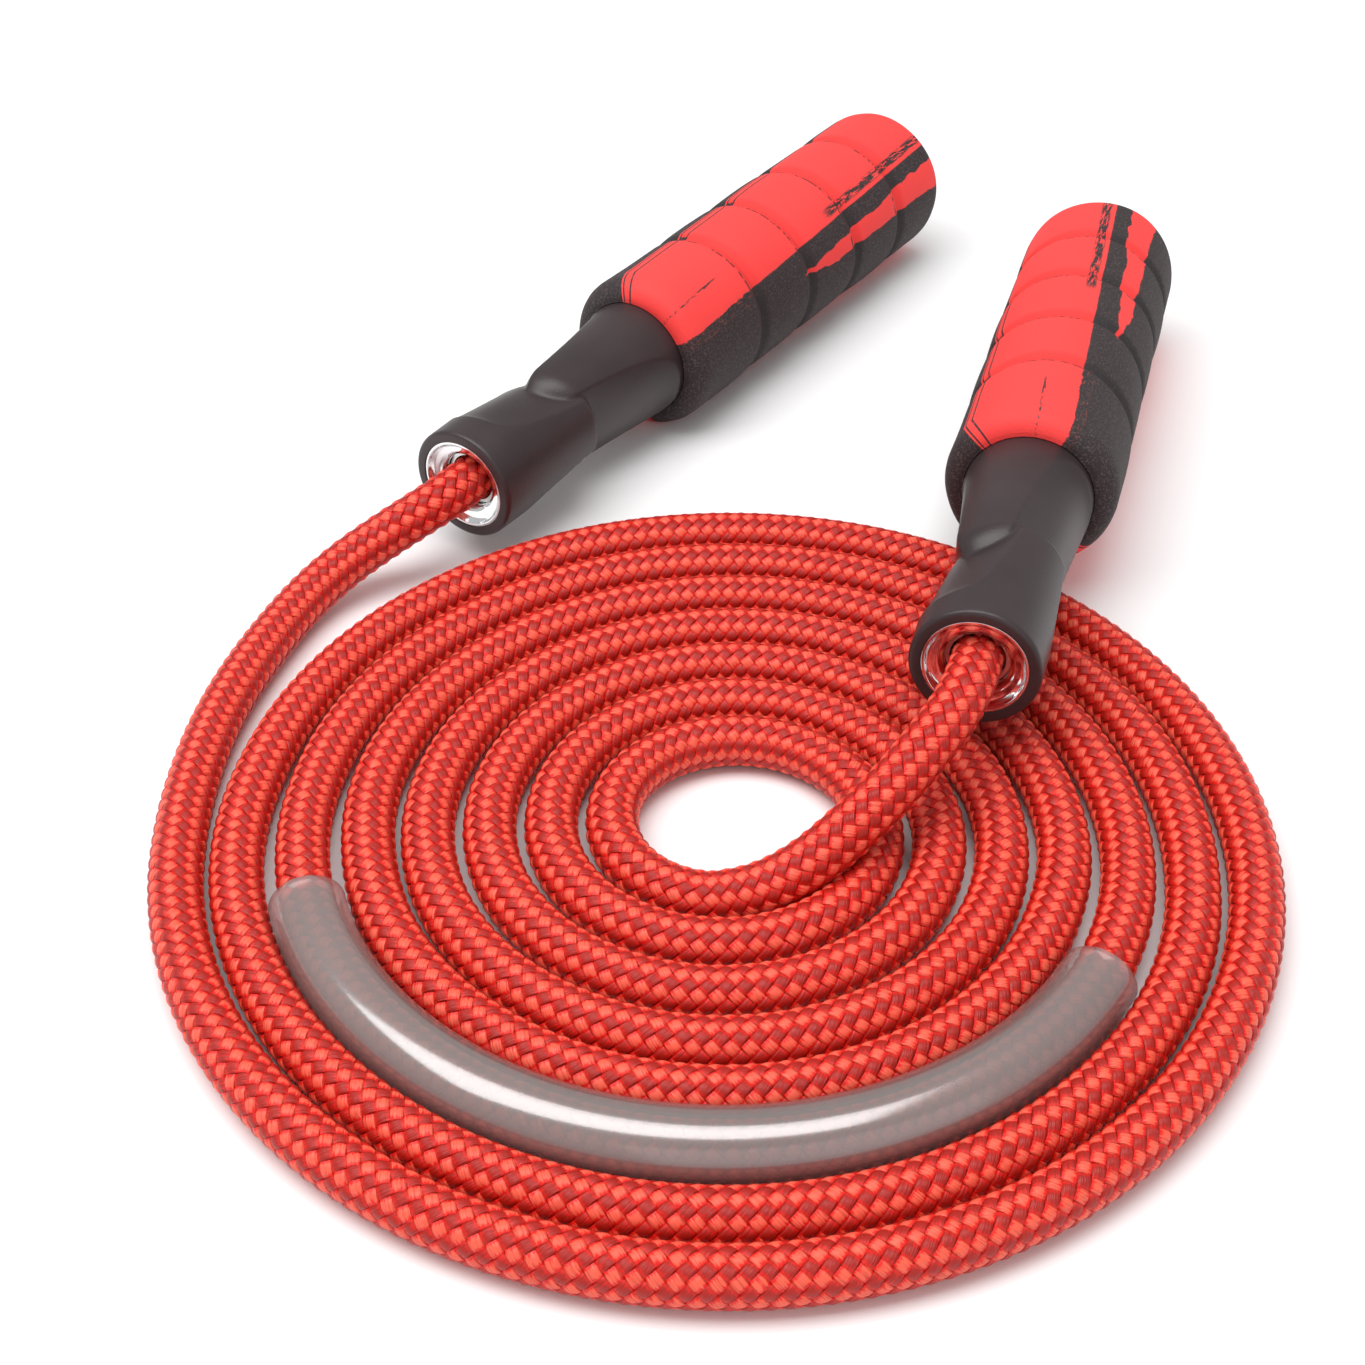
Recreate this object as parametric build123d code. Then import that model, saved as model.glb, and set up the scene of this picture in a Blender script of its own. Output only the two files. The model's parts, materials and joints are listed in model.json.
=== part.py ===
from build123d import *
import os
from math import cos, pi, radians, sin, sqrt, tan

# A jump rope laid down flat: a braided rope in a spiral coil, a handle on each end whose ball
# bearing lets the rope turn, and a clear sleeve on the rope where it would hit the ground.
# Millimetres. The origin is the centre of the coil, on the surface it lies on, and +Z is up.

# Rope and coil. Angles are in degrees about +Z, counted on from turn to turn.
ROPE_DIAMETER = 9.5
ROPE_RADIUS = ROPE_DIAMETER / 2
COIL_START_RADIUS = 94.6
COIL_START_ANGLE = 180.0
COIL_PITCH = 10.63
COIL_END_ANGLE = 2782.0
ARCS_PER_TURN = 8

# The rope's leads from the coil to the handles, up to where they enter a handle's mouth.
LEFT_LEAD = [
    (-94.6, 0.0, 4.75),
    (-94.6, 13.0, 4.75),
    (-93.4, 27.0, 4.75),
    (-90.4, 41.2, 4.75),
    (-86.0, 54.8, 4.75),
    (-81.2, 65.4, 5.4),
    (-75.0, 72.6, 7.6),
    (-68.0, 76.6, 10.9),
    (-61.5, 78.8, 14.4),
]
RIGHT_LEAD = [
    (-2.5, -17.6, 4.75),
    (5.5, -17.0, 6.4),
    (13.0, -14.6, 9.8),
    (20.0, -10.4, 14.0),
    (26.7, -5.2, 18.0),
    (32.6, 0.7, 21.6),
    (37.9, 7.2, 24.4),
]
LEAD_ARC_SHARE = 0.45
LEAD_STUB = 4.0

# Clear floor sleeve, on the third turn from the outside.
SLEEVE_START_ANGLE = 916.0
SLEEVE_END_ANGLE = 1048.0
SLEEVE_OUTER_RADIUS = 6.4
SLEEVE_WALL = 0.9
SLEEVE_SLIDE_ROOM = 9.0
SLEEVE_SIDE_ROOM = 0.3

# Handles: local +X runs from the mouth, where the rope goes in, to the butt.
LEFT_MOUTH = (-52.1, 86.5, 17.0)
LEFT_DIRECTION = (0.565, 0.825, 0.0)
RIGHT_MOUTH = (42.5, 17.8, 25.51)
RIGHT_DIRECTION = (0.2796, 0.9587, -0.0523)
HANDLE_LENGTH = 166.0
NOSE_LENGTH = 60.0
NOSE_FRONT_RADIUS = 11.75
NOSE_REAR_RADIUS = 12.75
NOSE_EDGE = 0.8
TUBE_OUTER_RADIUS = 11.0
TUBE_INNER_RADIUS = 9.0
GRIP_RADIUS = 17.0
GRIP_EDGE = 3.0
GROOVE_COUNT = 4
FIRST_SEGMENT_SHARE = 1.3
GROOVE_DEPTH = 0.9
GROOVE_HALF_WIDTH = 1.8

# Bearing, 10 x 19 x 5, and the collar in front of it.
BEARING_OUTER_RADIUS = 9.5
BEARING_BORE_RADIUS = 5.0
BEARING_WIDTH = 5.0
OUTER_RING_INSIDE = 8.3
INNER_RING_OUTSIDE = 6.2
BALL_RADIUS = 1.19
BALL_CIRCLE_RADIUS = 7.25
BALL_COUNT = 10
BALL_PLAY = 0.03
CAGE_HALF_WIDTH = 1.7
CAGE_HALF_WALL = 0.55
SHIELD_THICKNESS = 0.3
SHIELD_INSET = 0.3
SHIELD_GAP = 0.1
COLLAR_FRONT = 0.4
COLLAR_LENGTH = 3.0
COLLAR_MOUTH_RADIUS = 9.2
COLLAR_THROAT_RADIUS = 5.8
COLLAR_RELIEF = 0.3
BEARING_FRONT = COLLAR_FRONT + COLLAR_LENGTH
BEARING_REAR = BEARING_FRONT + BEARING_WIDTH
CLAMP_BORE_RADIUS = 8.4
CLAMP_BORE_END = 24.4
TAIL_BORE_RADIUS = 6.4
TAIL_BORE_END = 56.0

# Clamp that stops the rope's tail behind the bearing.
WASHER_THICKNESS = 1.0
STOP_RADIUS = 7.9
STOP_LENGTH = 14.0
STOP_HALF_GAP = 0.15
STOP_FRONT = BEARING_REAR + WASHER_THICKNESS
SCREW_RADIUS = 0.8
SCREW_HEAD_RADIUS = 1.4
SCREW_HEAD_HEIGHT = 1.2
SCREW_HEAD_BASE = 2.2
SCREW_TIP = -3.2
SCREW_SIDE_OFFSET = 6.3
SCREW_END_DISTANCE = 4.0
SCREW_PLAY = 0.1
TAIL_END = 44.0
CRIMP_RADIUS = 5.6
CRIMP_LENGTH = 8.0

# Cap in the butt of the tube.
CAP_HEAD_RADIUS = 12.0
CAP_HEAD_THICKNESS = 3.0
CAP_STEM_LENGTH = 22.0
CAP_WALL = 2.0
CAP_FIT = 0.05
CAP_POCKET_GAP = 0.2


def unit(vector):
    length = sqrt(sum(part * part for part in vector))
    return tuple(part / length for part in vector)


def along(origin, direction, distance):
    return tuple(o + d * distance for o, d in zip(origin, unit(direction)))


def spiral_radius(angle):
    return COIL_START_RADIUS - COIL_PITCH * (angle - COIL_START_ANGLE) / 360


def spiral_point(angle, offset=0.0):
    """Point of the rope's centreline in plan, or of a line that runs beside it."""
    radius = spiral_radius(angle) + offset
    return (radius * cos(radians(angle)), radius * sin(radians(angle)))


def spiral_turn_face(start, offset):
    """The area inside one turn of the spiral, closed by a straight step."""
    step = 360 / ARCS_PER_TURN
    edges = []
    for index in range(ARCS_PER_TURN):
        angle = start + index * step
        first = spiral_point(angle, offset)
        middle = spiral_point(angle + step / 2, offset)
        last = spiral_point(angle + step, offset)
        edges.append(ThreePointArc(first, middle, last))
    edges.append(Line(spiral_point(start + 360, offset), spiral_point(start, offset)))
    return make_face(edges)


def circle_through(first, second, third):
    """Centre and radius of the circle through three points in plan."""
    ax, ay = first
    bx, by = second
    cx, cy = third
    twice_area = 2 * (ax * (by - cy) + bx * (cy - ay) + cx * (ay - by))
    a_square = ax * ax + ay * ay
    b_square = bx * bx + by * by
    c_square = cx * cx + cy * cy
    x = (a_square * (by - cy) + b_square * (cy - ay) + c_square * (ay - by)) / twice_area
    y = (a_square * (cx - bx) + b_square * (ax - cx) + c_square * (bx - ax)) / twice_area
    return (x, y), sqrt((ax - x) ** 2 + (ay - y) ** 2)


SLEEVE_CENTRE, SLEEVE_ARC_RADIUS = circle_through(
    spiral_point(SLEEVE_START_ANGLE),
    spiral_point((SLEEVE_START_ANGLE + SLEEVE_END_ANGLE) / 2),
    spiral_point(SLEEVE_END_ANGLE),
)


def bent_bar(sketch, start, end):
    """A section swept about the sleeve's vertical axis; its local X is the distance from it."""
    outward = (cos(radians(start)), sin(radians(start)), 0)
    side = (sin(radians(start)), -cos(radians(start)), 0)
    plane = Plane(origin=(*SLEEVE_CENTRE, 0), x_dir=outward, z_dir=side)
    return revolve(plane * sketch, Axis((*SLEEVE_CENTRE, 0), (0, 0, 1)), end - start)


def make_rope_coil():
    outline = spiral_turn_face(COIL_START_ANGLE, ROPE_RADIUS)
    hole = spiral_turn_face(COIL_END_ANGLE - 360, -ROPE_RADIUS)
    coil = extrude(outline, ROPE_DIAMETER) - extrude(hole, ROPE_DIAMETER)
    channel_width = 2 * (SLEEVE_OUTER_RADIUS + SLEEVE_SIDE_ROOM)
    channel_section = Pos(SLEEVE_ARC_RADIUS, 0) * Rectangle(channel_width, 3 * ROPE_DIAMETER)
    channel = bent_bar(
        channel_section,
        SLEEVE_START_ANGLE - SLEEVE_SLIDE_ROOM,
        SLEEVE_END_ANGLE + SLEEVE_SLIDE_ROOM,
    )
    return coil - channel


def make_rope_in_sleeve():
    section = Pos(SLEEVE_ARC_RADIUS, SLEEVE_WALL + ROPE_RADIUS) * Circle(ROPE_RADIUS)
    return bent_bar(
        section,
        SLEEVE_START_ANGLE - SLEEVE_SLIDE_ROOM,
        SLEEVE_END_ANGLE + SLEEVE_SLIDE_ROOM,
    )


def make_clear_sleeve():
    ring = Circle(SLEEVE_OUTER_RADIUS) - Circle(SLEEVE_OUTER_RADIUS - SLEEVE_WALL)
    section = Pos(SLEEVE_ARC_RADIUS, SLEEVE_OUTER_RADIUS) * ring
    return bent_bar(section, SLEEVE_START_ANGLE, SLEEVE_END_ANGLE)


def make_lead(name, route, mouth, direction):
    """The rope from the coil into a handle's mouth: straight runs joined by tangent arcs."""
    points = [
        *route,
        along(mouth, direction, -LEAD_STUB),
        along(mouth, direction, LEAD_STUB),
    ]
    corners = [Vector(*point) for point in points]
    radii = []
    for before, corner, after in zip(corners, corners[1:], corners[2:]):
        turn = (corner - before).get_angle(after - corner)
        shorter_run = min((corner - before).length, (after - corner).length)
        radii.append(LEAD_ARC_SHARE * shorter_run / tan(radians(turn / 2)))
    path = FilletPolyline(*points, radius=radii)
    section = Plane(origin=path @ 0, z_dir=path % 0) * Circle(ROPE_RADIUS)
    tube = sweep(section, path=path)
    swept = pi * ROPE_RADIUS**2 * path.length
    print(name, "radii", [round(radius, 1) for radius in radii])
    print(name, "length", round(path.length, 1), "volume ratio", round(tube.volume / swept, 4))
    return tube


def turned(points):
    """A solid of revolution about local X from an outline of (x, radius) points."""
    return revolve(make_face(Polyline(*points, close=True)), Axis.X)


def ring(start, end, inner, outer):
    return turned([(start, inner), (end, inner), (end, outer), (start, outer)])


def make_handle_body():
    """The moulded nose and the long tube behind it that carries the grip."""
    return turned(
        [
            (0, BEARING_OUTER_RADIUS),
            (BEARING_REAR, BEARING_OUTER_RADIUS),
            (BEARING_REAR, CLAMP_BORE_RADIUS),
            (CLAMP_BORE_END, CLAMP_BORE_RADIUS),
            (CLAMP_BORE_END, TAIL_BORE_RADIUS),
            (TAIL_BORE_END, TAIL_BORE_RADIUS),
            (TAIL_BORE_END, TUBE_INNER_RADIUS),
            (HANDLE_LENGTH - CAP_HEAD_THICKNESS, TUBE_INNER_RADIUS),
            (HANDLE_LENGTH - CAP_HEAD_THICKNESS, TUBE_OUTER_RADIUS),
            (NOSE_LENGTH, TUBE_OUTER_RADIUS),
            (NOSE_LENGTH, NOSE_REAR_RADIUS),
            (NOSE_EDGE, NOSE_FRONT_RADIUS),
            (0, NOSE_FRONT_RADIUS - NOSE_EDGE),
        ]
    )


def groove_positions():
    """The grip's segments are equal, but for a longer one next to the nose."""
    segment = (HANDLE_LENGTH - NOSE_LENGTH) / (GROOVE_COUNT + FIRST_SEGMENT_SHARE)
    first = NOSE_LENGTH + FIRST_SEGMENT_SHARE * segment
    return [first + index * segment for index in range(GROOVE_COUNT)]


def make_foam_grip():
    pocket = HANDLE_LENGTH - CAP_HEAD_THICKNESS
    outline = [
        (NOSE_LENGTH, TUBE_OUTER_RADIUS),
        (NOSE_LENGTH, GRIP_RADIUS - GRIP_EDGE),
        (NOSE_LENGTH + GRIP_EDGE, GRIP_RADIUS),
    ]
    for groove in groove_positions():
        outline += [
            (groove - GROOVE_HALF_WIDTH, GRIP_RADIUS),
            (groove, GRIP_RADIUS - GROOVE_DEPTH),
            (groove + GROOVE_HALF_WIDTH, GRIP_RADIUS),
        ]
    outline += [
        (HANDLE_LENGTH - GRIP_EDGE, GRIP_RADIUS),
        (HANDLE_LENGTH, GRIP_RADIUS - GRIP_EDGE),
        (HANDLE_LENGTH, CAP_HEAD_RADIUS + CAP_POCKET_GAP),
        (pocket, CAP_HEAD_RADIUS + CAP_POCKET_GAP),
        (pocket, TUBE_OUTER_RADIUS),
    ]
    return turned(outline)


def make_end_cap():
    head_front = HANDLE_LENGTH - CAP_HEAD_THICKNESS
    stem_radius = TUBE_INNER_RADIUS - CAP_FIT
    stem_front = head_front - CAP_STEM_LENGTH
    return turned(
        [
            (stem_front, stem_radius - CAP_WALL),
            (head_front, stem_radius - CAP_WALL),
            (head_front, 0),
            (HANDLE_LENGTH, 0),
            (HANDLE_LENGTH, CAP_HEAD_RADIUS),
            (head_front, CAP_HEAD_RADIUS),
            (head_front, stem_radius),
            (stem_front, stem_radius),
        ]
    )


def make_mouth_collar():
    return turned(
        [
            (COLLAR_FRONT, BEARING_OUTER_RADIUS),
            (COLLAR_FRONT, COLLAR_MOUTH_RADIUS),
            (BEARING_FRONT - 3 * COLLAR_RELIEF, COLLAR_THROAT_RADIUS),
            (BEARING_FRONT - COLLAR_RELIEF, COLLAR_THROAT_RADIUS),
            (BEARING_FRONT - COLLAR_RELIEF, OUTER_RING_INSIDE),
            (BEARING_FRONT, OUTER_RING_INSIDE),
            (BEARING_FRONT, BEARING_OUTER_RADIUS),
        ]
    )


def at_bearing_middle(part):
    return Pos(BEARING_FRONT + BEARING_WIDTH / 2, 0, 0) * part


def race_groove():
    section = Pos(0, BALL_CIRCLE_RADIUS) * Circle(BALL_RADIUS + BALL_PLAY)
    return at_bearing_middle(revolve(section, Axis.X))


def make_bearing_outer():
    blank = ring(BEARING_FRONT, BEARING_REAR, OUTER_RING_INSIDE, BEARING_OUTER_RADIUS)
    return blank - race_groove()


def make_bearing_inner():
    blank = ring(BEARING_FRONT, BEARING_REAR, BEARING_BORE_RADIUS, INNER_RING_OUTSIDE)
    return blank - race_groove()


def ball_places():
    """Rotations about local X from the first ball to each ball."""
    return [Rot(X=360 * index / BALL_COUNT) for index in range(BALL_COUNT)]


def make_bearing_balls():
    ball = Pos(0, BALL_CIRCLE_RADIUS, 0) * Sphere(BALL_RADIUS)
    return Compound([at_bearing_middle(place * ball) for place in ball_places()])


def make_bearing_cage():
    band = ring(
        -CAGE_HALF_WIDTH,
        CAGE_HALF_WIDTH,
        BALL_CIRCLE_RADIUS - CAGE_HALF_WALL,
        BALL_CIRCLE_RADIUS + CAGE_HALF_WALL,
    )
    hole = Cylinder(BALL_RADIUS + BALL_PLAY, 4 * CAGE_HALF_WALL)
    pocket = Pos(0, BALL_CIRCLE_RADIUS, 0) * (Rot(X=90) * hole)
    for place in ball_places():
        band -= place * pocket
    return at_bearing_middle(band)


def make_bearing_shield(outer_face, inwards):
    """A thin washer set into the outer ring, just clear of the inner one."""
    start = outer_face + inwards * SHIELD_INSET
    end = start + inwards * SHIELD_THICKNESS
    inside = INNER_RING_OUTSIDE + SHIELD_GAP
    return ring(min(start, end), max(start, end), inside, OUTER_RING_INSIDE)


def make_rope_stop(side):
    """One half of the two-part clamp; side is 1 for the upper half and -1 for the lower."""
    clamp = ring(STOP_FRONT, STOP_FRONT + STOP_LENGTH, ROPE_RADIUS, STOP_RADIUS)
    middle = STOP_FRONT + STOP_LENGTH / 2
    keep = Pos(middle, 0, side * (STOP_RADIUS + STOP_HALF_GAP)) * Box(
        2 * STOP_LENGTH, 4 * STOP_RADIUS, 2 * STOP_RADIUS
    )
    half = clamp & keep
    for x, y in screw_places():
        if side > 0:
            half -= Pos(x, y, 0) * Cylinder(SCREW_RADIUS + SCREW_PLAY, 4 * STOP_RADIUS)
            head_room = Cylinder(
                SCREW_HEAD_RADIUS + SCREW_PLAY,
                STOP_RADIUS,
                align=(Align.CENTER, Align.CENTER, Align.MIN),
            )
            half -= Pos(x, y, SCREW_HEAD_BASE) * head_room
        else:
            half -= Pos(x, y, SCREW_TIP) * screw_shank()
    return half


def screw_places():
    ends = (STOP_FRONT + SCREW_END_DISTANCE, STOP_FRONT + STOP_LENGTH - SCREW_END_DISTANCE)
    return [(x, y) for x in ends for y in (-SCREW_SIDE_OFFSET, SCREW_SIDE_OFFSET)]


def screw_shank():
    return Cylinder(
        SCREW_RADIUS,
        SCREW_HEAD_BASE - SCREW_TIP,
        align=(Align.CENTER, Align.CENTER, Align.MIN),
    )


def make_stop_screws():
    head = Cylinder(
        SCREW_HEAD_RADIUS,
        SCREW_HEAD_HEIGHT,
        align=(Align.CENTER, Align.CENTER, Align.MIN),
    )
    screws = []
    for x, y in screw_places():
        shank = Pos(x, y, SCREW_TIP) * screw_shank()
        screws.append(shank + Pos(x, y, SCREW_HEAD_BASE) * head)
    return Compound([screw.solid() for screw in screws])


def make_handle(side, route, mouth, direction):
    """Every node of one handle, and of the rope's end in it, by name."""
    axis = unit(direction)
    upright = (-axis[2] * axis[0], -axis[2] * axis[1], 1 - axis[2] ** 2)
    place = Plane(origin=mouth, x_dir=axis, z_dir=upright).location
    tail_front = TAIL_END - CRIMP_LENGTH / 2
    local = {
        "handle_body": make_handle_body(),
        "foam_grip": make_foam_grip(),
        "end_cap": make_end_cap(),
        "mouth_collar": make_mouth_collar(),
        "bearing_outer": make_bearing_outer(),
        "bearing_inner": make_bearing_inner(),
        "bearing_balls": make_bearing_balls(),
        "bearing_cage": make_bearing_cage(),
        "bearing_shield_front": make_bearing_shield(BEARING_FRONT, 1),
        "bearing_shield_rear": make_bearing_shield(BEARING_REAR, -1),
        "thrust_washer": ring(BEARING_REAR, STOP_FRONT, BEARING_BORE_RADIUS, INNER_RING_OUTSIDE),
        "rope_stop_upper": make_rope_stop(1),
        "rope_stop_lower": make_rope_stop(-1),
        "stop_screws": make_stop_screws(),
        "rope_tail": ring(LEAD_STUB, TAIL_END, 0, ROPE_RADIUS),
        "tail_crimp": ring(tail_front, tail_front + CRIMP_LENGTH, ROPE_RADIUS, CRIMP_RADIUS),
    }
    nodes = {f"{name}_{side}": place * part for name, part in local.items()}
    lead = make_lead(f"rope_lead_{side}", route, mouth, direction)
    nodes[f"rope_lead_{side}"] = lead
    return nodes


nodes = {
    "rope_coil": make_rope_coil(),
    "rope_in_sleeve": make_rope_in_sleeve(),
    "clear_sleeve": make_clear_sleeve(),
    **make_handle("left", LEFT_LEAD, LEFT_MOUTH, LEFT_DIRECTION),
    **make_handle("right", RIGHT_LEAD, RIGHT_MOUTH, RIGHT_DIRECTION),
}

os.makedirs("parts", exist_ok=True)
for name, part in nodes.items():
    export_step(part, f"parts/{name}.step")
print(len(nodes), "nodes; sleeve axis", SLEEVE_CENTRE, "radius", SLEEVE_ARC_RADIUS)
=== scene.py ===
import json
import math

import bpy
import numpy as np
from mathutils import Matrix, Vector


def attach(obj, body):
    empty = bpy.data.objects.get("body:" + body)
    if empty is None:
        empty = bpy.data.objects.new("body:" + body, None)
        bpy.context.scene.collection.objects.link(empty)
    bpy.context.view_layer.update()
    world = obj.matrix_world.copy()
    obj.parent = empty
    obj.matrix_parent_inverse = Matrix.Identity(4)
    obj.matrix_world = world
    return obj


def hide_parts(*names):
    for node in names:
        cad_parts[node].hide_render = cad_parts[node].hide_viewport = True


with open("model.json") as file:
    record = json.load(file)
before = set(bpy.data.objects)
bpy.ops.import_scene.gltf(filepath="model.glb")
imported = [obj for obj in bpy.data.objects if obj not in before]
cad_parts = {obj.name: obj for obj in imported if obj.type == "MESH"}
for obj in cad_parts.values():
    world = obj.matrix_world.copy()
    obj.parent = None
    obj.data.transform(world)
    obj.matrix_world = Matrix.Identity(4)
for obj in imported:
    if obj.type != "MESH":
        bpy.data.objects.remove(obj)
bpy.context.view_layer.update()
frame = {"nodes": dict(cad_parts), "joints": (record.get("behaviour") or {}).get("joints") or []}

# A jump rope laid down flat: braided rope in a spiral coil, a bearing handle on each end and a
# clear sleeve on the rope. Everything is in metres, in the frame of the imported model.

MM = 0.001
JOINTS = {joint["name"]: joint for joint in frame["joints"]}

# Rope and coil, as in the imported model.
ROPE_DIAMETER = 0.0095
ROPE_RADIUS = ROPE_DIAMETER / 2
COIL_START_RADIUS = 0.0946
COIL_START_ANGLE = 180.0
COIL_PITCH = 0.01063
COIL_END_ANGLE = 2782.0
COIL_POINTS_PER_TURN = 40
LEAD_STUB = 0.004
ROPE_LINE_STEPS = 20
SAME_PLACE = 1e-7
LEFT_LEAD = [
    (-0.0946, 0.0, 0.00475),
    (-0.0946, 0.013, 0.00475),
    (-0.0934, 0.027, 0.00475),
    (-0.0904, 0.0412, 0.00475),
    (-0.0860, 0.0548, 0.00475),
    (-0.0812, 0.0654, 0.0054),
    (-0.0750, 0.0726, 0.0076),
    (-0.0680, 0.0766, 0.0109),
    (-0.0615, 0.0788, 0.0144),
]
RIGHT_LEAD = [
    (-0.0025, -0.0176, 0.00475),
    (0.0055, -0.0170, 0.0064),
    (0.0130, -0.0146, 0.0098),
    (0.0200, -0.0104, 0.0140),
    (0.0267, -0.0052, 0.0180),
    (0.0326, 0.0007, 0.0216),
    (0.0379, 0.0072, 0.0244),
]

# Clear sleeve on the third turn.
SLEEVE_START_ANGLE = 916.0
SLEEVE_END_ANGLE = 1048.0
SLEEVE_OUTER_RADIUS = 0.0064
SLEEVE_WALL = 0.0009
SLEEVE_CHAMFER = 0.0002
SLEEVE_SLIDE_ROOM = 9.0
SLEEVE_EASE = 14.0
SLEEVE_SPREAD = 0.0006
SLEEVE_RINGS = 90
SLEEVE_SIDES = 64
SLEEVE_SHARP_EDGE = 50

# Handles, along local +X from the mouth to the butt.
HANDLE_LENGTH = 0.166
NOSE_LENGTH = 0.060
TUBE_OUTER_RADIUS = 0.011
TAIL_END = 0.044
TAIL_POINTS = 20
GROOVE_COUNT = 4
FIRST_SEGMENT_SHARE = 1.3
HANDLE_ROLL = {"left": -36.0, "right": 0.0}


# ---------------------------------------------------------------- camera and light

SENSOR_WIDTH = 36
LENS = 56.88
CAMERA_PLACE = (-0.0080, -0.2719, 0.2607)
CAMERA_LOOKS_DOWN = 39.443
WORLD_STRENGTH = 0.56
FLOOR_REACH = 4.0
FLOOR_COLOUR = (0.90, 0.90, 0.90)


def make_camera():
    data = bpy.data.cameras.new("camera")
    data.sensor_width = SENSOR_WIDTH
    data.lens = LENS
    camera = bpy.data.objects.new("camera", data)
    bpy.context.scene.collection.objects.link(camera)
    camera.location = CAMERA_PLACE
    camera.rotation_euler = (math.radians(90 - CAMERA_LOOKS_DOWN), 0, 0)
    bpy.context.scene.camera = camera


def area_light(name, place, target, size, power):
    data = bpy.data.lights.new(name, "AREA")
    data.shape = "RECTANGLE"
    data.size, data.size_y = size
    data.energy = power
    lamp = bpy.data.objects.new(name, data)
    bpy.context.scene.collection.objects.link(lamp)
    lamp.location = place
    lamp.rotation_euler = (Vector(target) - Vector(place)).to_track_quat("-Z", "Y").to_euler()


def make_studio():
    scene = bpy.context.scene
    scene.view_settings.view_transform = "Standard"
    world = bpy.data.worlds.new("studio")
    world.use_nodes = True
    background = world.node_tree.nodes["Background"]
    background.inputs["Color"].default_value = (1, 1, 1, 1)
    background.inputs["Strength"].default_value = WORLD_STRENGTH
    scene.world = world
    area_light("softbox_top", (-0.22, -0.02, 0.9), (-0.02, 0.0, 0), (0.60, 1.15), 10.0)
    area_light("softbox_front", (0.35, -0.9, 0.45), (0, 0.03, 0), (1.5, 0.9), 1.2)
    mesh = bpy.data.meshes.new("floor")
    reach = FLOOR_REACH
    corners = [(-reach, -reach, 0), (reach, -reach, 0), (reach, reach, 0), (-reach, reach, 0)]
    mesh.from_pydata(corners, [], [(0, 1, 2, 3)])
    floor = bpy.data.objects.new("floor", mesh)
    scene.collection.objects.link(floor)
    floor.data.materials.append(Surface("floor", FLOOR_COLOUR, Roughness=0.9).material)


# ---------------------------------------------------------------- materials

class Value:
    """A number worked out by a material's nodes, so that a pattern reads as a sum."""

    def __init__(self, tree, socket):
        self.tree = tree
        self.socket = socket

    def math(self, operation, *others):
        node = self.tree.nodes.new("ShaderNodeMath")
        node.operation = operation
        for slot, item in enumerate((self, *others)):
            if isinstance(item, Value):
                self.tree.links.new(item.socket, node.inputs[slot])
            else:
                node.inputs[slot].default_value = item
        return Value(self.tree, node.outputs[0])

    def __add__(self, other):
        return self.math("ADD", other)

    def __sub__(self, other):
        return self.math("SUBTRACT", other)

    def __mul__(self, other):
        return self.math("MULTIPLY", other)

    def inverse(self):
        return (self * -1.0) + 1.0

    def either(self, other):
        return self.math("MAXIMUM", other)

    def over(self, edge, softness):
        """0 well below the edge, 1 well above it."""
        node = self.tree.nodes.new("ShaderNodeMapRange")
        node.interpolation_type = "SMOOTHSTEP"
        self.tree.links.new(self.socket, node.inputs["Value"])
        for name, offset in (("From Min", -softness), ("From Max", softness)):
            if isinstance(edge, Value):
                self.tree.links.new((edge + offset).socket, node.inputs[name])
            else:
                node.inputs[name].default_value = edge + offset
        return Value(self.tree, node.outputs["Result"])

    def between(self, low, high, softness):
        return self.over(low, softness) * self.over(high, softness).inverse()


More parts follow.
